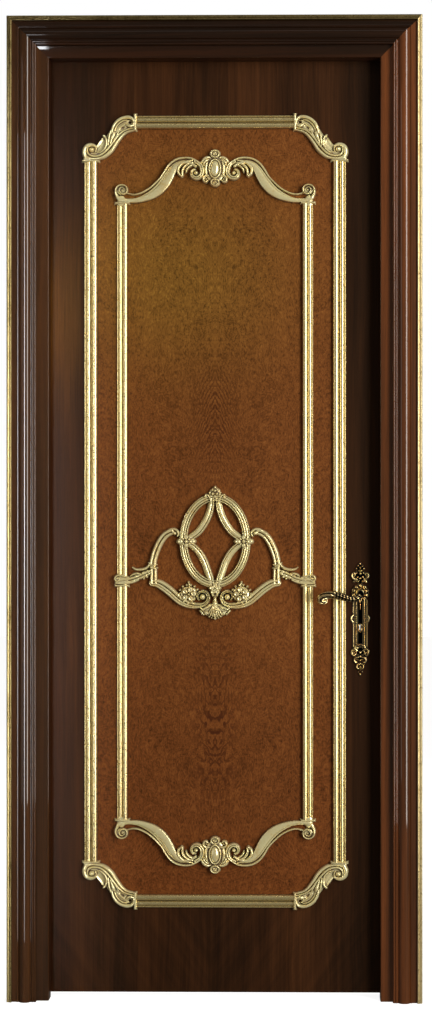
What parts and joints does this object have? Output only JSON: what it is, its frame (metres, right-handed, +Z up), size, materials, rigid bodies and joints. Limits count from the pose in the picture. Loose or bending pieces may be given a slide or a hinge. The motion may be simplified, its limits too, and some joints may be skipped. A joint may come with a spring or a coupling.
{
  "type": "carved interior door",
  "caption": "Tall walnut interior door in its moulded casing, with a burr field, gilded mouldings and scrolled carvings, hinges, mortise lock and lever handles.",
  "frame": {"origin": "floor level, under the middle of the door's whole box", "axes": "+X to the right seen from the carved side, +Y away from the viewer through the wall, +Z up"},
  "size_m": [1.06, 0.175, 2.516],
  "materials": {
    "casing_lacquer": "dark walnut stain under a satin lacquer",
    "gilt_edge": "gold leaf over wood, softly burnished and speckled",
    "gilt_moulding": "gold leaf over a wooden moulding, antiqued in the hollows",
    "gilt_carving": "gold leaf over a wooden carving, darkened in the recesses",
    "leaf_walnut": "dark walnut veneer, satin lacquer",
    "field_burr": "book-matched burr veneer, honey stain, satin lacquer",
    "lining_walnut": "dark walnut stain, satin lacquer",
    "seal_rubber": "dark brown rubber seal",
    "hinge_brass": "satin brass",
    "antique_brass": "antique brass, blackened in the recesses",
    "screw_brass": "brass",
    "lock_brass": "satin brass",
    "lock_steel": "zinc-plated steel"
  },
  "bodies": {
    "frame": {"architrave_back_head": "lining_walnut", "architrave_back_left": "lining_walnut", "architrave_back_right": "lining_walnut", "casing_head": "casing_lacquer", "casing_left": "casing_lacquer", "casing_right": "casing_lacquer", "gilt_edge_head": "gilt_edge", "gilt_edge_left": "gilt_edge", "gilt_edge_right": "gilt_edge", "hinge_bottom_frame_plate": "hinge_brass", "hinge_bottom_pin": "hinge_brass", "hinge_middle_frame_plate": "hinge_brass", "hinge_middle_pin": "hinge_brass", "hinge_top_frame_plate": "hinge_brass", "hinge_top_pin": "hinge_brass", "jamb_head": "lining_walnut", "jamb_left": "lining_walnut", "jamb_right": "lining_walnut", "rebate_seal": "seal_rubber", "strike_plate": "lock_brass", "wood_screws_frame": "screw_brass"},
    "leaf": {"bar_inner_left": "gilt_moulding", "bar_inner_right": "gilt_moulding", "bar_outer_bottom": "gilt_moulding", "bar_outer_left": "gilt_moulding", "bar_outer_right": "gilt_moulding", "bar_outer_top": "gilt_moulding", "cartouche_bottom": "gilt_carving", "cartouche_top": "gilt_carving", "centre_arm_left": "gilt_carving", "centre_arm_right": "gilt_carving", "centre_flower_left": "gilt_carving", "centre_flower_right": "gilt_carving", "centre_oval": "gilt_carving", "centre_shell": "gilt_carving", "corner_scroll_bottom_left": "gilt_carving", "corner_scroll_bottom_right": "gilt_carving", "corner_scroll_top_left": "gilt_carving", "corner_scroll_top_right": "gilt_carving", "door_leaf": "leaf_walnut", "field_panel": "field_burr", "handle_plate_back": "antique_brass", "handle_plate_front": "antique_brass", "handle_screws": "screw_brass", "hinge_bottom_leaf_plate": "hinge_brass", "hinge_middle_leaf_plate": "hinge_brass", "hinge_top_leaf_plate": "hinge_brass", "lock_case": "lock_steel", "lock_forend": "lock_brass", "swag_bottom_left": "gilt_carving", "swag_bottom_right": "gilt_carving", "swag_top_left": "gilt_carving", "swag_top_right": "gilt_carving", "wood_screws_leaf": "screw_brass"},
    "lever": {"lever_front": "antique_brass", "lever_back": "antique_brass", "spindle": "lock_steel", "lock_follower": "lock_steel"},
    "latch": {"latch_bolt": "lock_steel"},
    "deadbolt": {"dead_bolt": "lock_steel"}
  },
  "joints": [
    {"name": "leaf_swing", "type": "hinge", "parent": "frame", "child": "leaf", "pos_m": [-0.4355, 0.0391, 1.24], "axis": [0, 0, 1], "range_deg": [0, 170]},
    {"name": "lever_turn", "type": "hinge", "parent": "leaf", "child": "lever", "pos_m": [0.374, 0.0045, 1.042], "axis": [0, -1, 0], "range_deg": [0, 35], "stiffness_Nm_per_rad": 1, "springref_deg": -51.57},
    {"name": "latch_slide", "type": "slide", "parent": "leaf", "child": "latch", "axis": [-1, 0, 0], "range_m": [0, 0.012], "stiffness_N_per_m": 120, "springref_m": -0.02},
    {"name": "deadbolt_slide", "type": "slide", "parent": "leaf", "child": "deadbolt", "axis": [1, 0, 0], "range_m": [0, 0.02]}
  ],
  "couplings": [
    {"joint": "latch_slide", "follows": "lever_turn", "m_per_rad": 0.0196}
  ]
}
